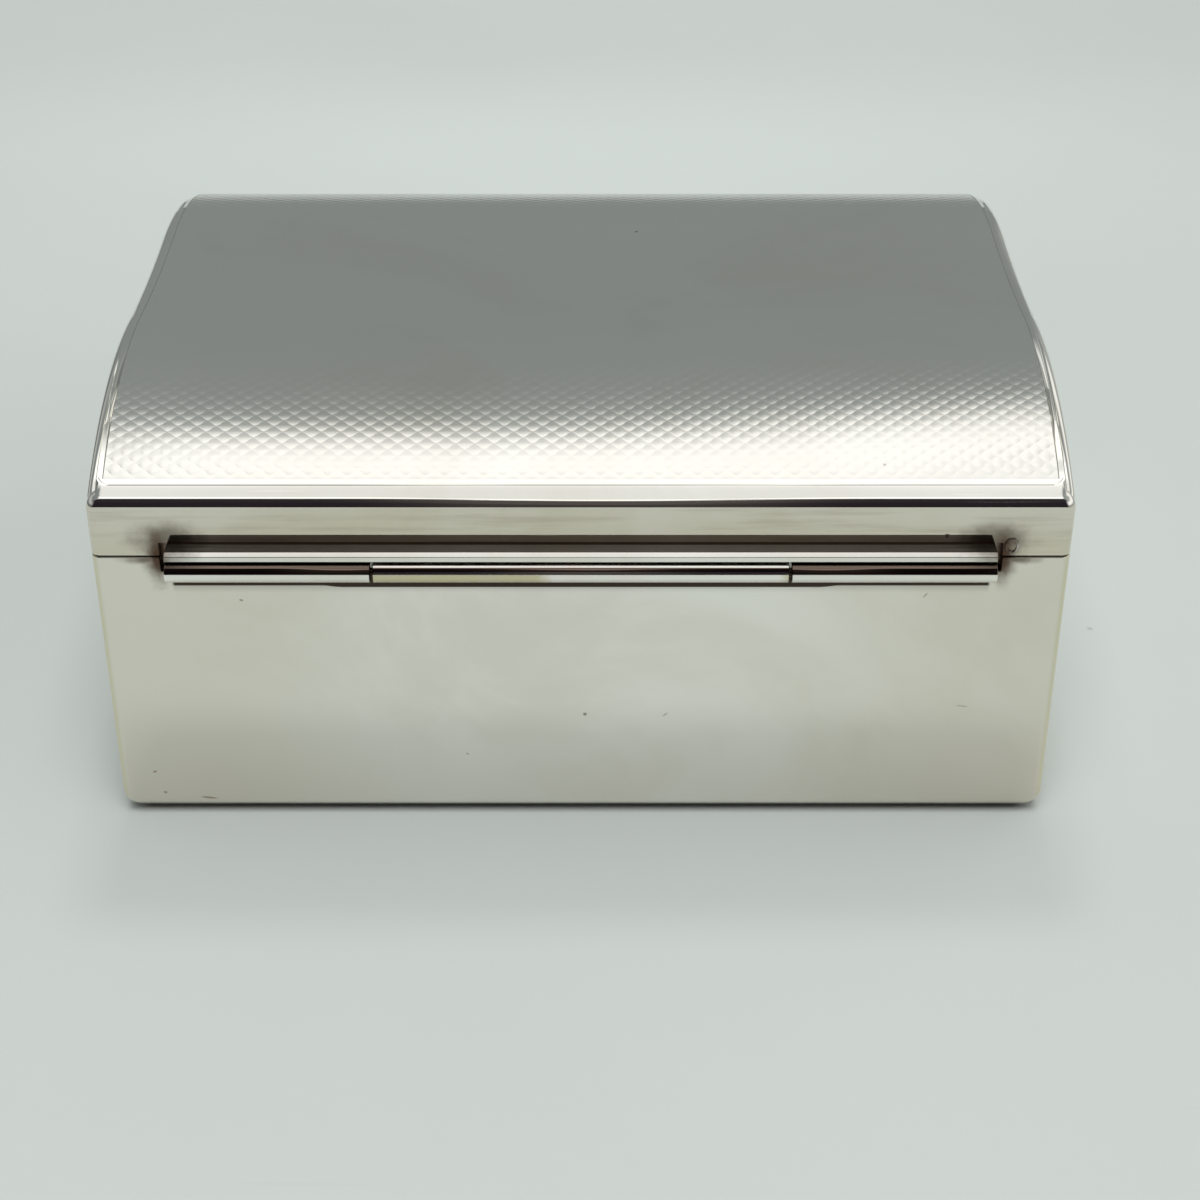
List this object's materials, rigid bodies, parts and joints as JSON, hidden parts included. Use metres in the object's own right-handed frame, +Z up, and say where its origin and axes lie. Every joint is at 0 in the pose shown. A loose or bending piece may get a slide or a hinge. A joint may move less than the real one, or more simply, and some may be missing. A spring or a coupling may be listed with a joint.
{
  "type": "cigarette box",
  "caption": "Rectangular silver table box with a cedar lining and a hinged lid whose engine-turned top swells, dips slightly and swells again from back to front.",
  "frame": {"origin": "centre of the base plate's underside, on the surface that the box stands on", "axes": "+Z up, +Y towards the hinge, -Y towards the thumb piece, +X to the right of someone facing the thumb piece"},
  "size_m": [0.1016, 0.0884, 0.0473],
  "materials": {
    "silver": "polished sterling-type silver with fine wear",
    "tarnished_silver": "polished silver with a brassy tarnish",
    "nickel_silver": "drawn wire",
    "cedar": "unvarnished cedar"
  },
  "bodies": {
    "body": {"body_wall": "silver", "base_plate": "silver", "body_bezel": "silver", "body_bearer": "silver", "centre_knuckle": "tarnished_silver", "lining_floor": "cedar", "lining_front": "cedar", "lining_back": "cedar", "lining_left": "cedar", "lining_right": "cedar", "lining_divider": "cedar"},
    "lid": {"lid_wall": "silver", "lid_top": "silver", "lid_bearer": "silver", "left_knuckle": "silver", "right_knuckle": "silver", "hinge_pin": "nickel_silver", "left_pin_plug": "silver", "right_pin_plug": "silver", "thumb_piece": "silver"}
  },
  "joints": [
    {"name": "lid_hinge", "type": "hinge", "parent": "body", "child": "lid", "pos_m": [0, 0.04325, 0.0326], "axis": [-1, 0, 0], "range_deg": [0, 110]}
  ]
}
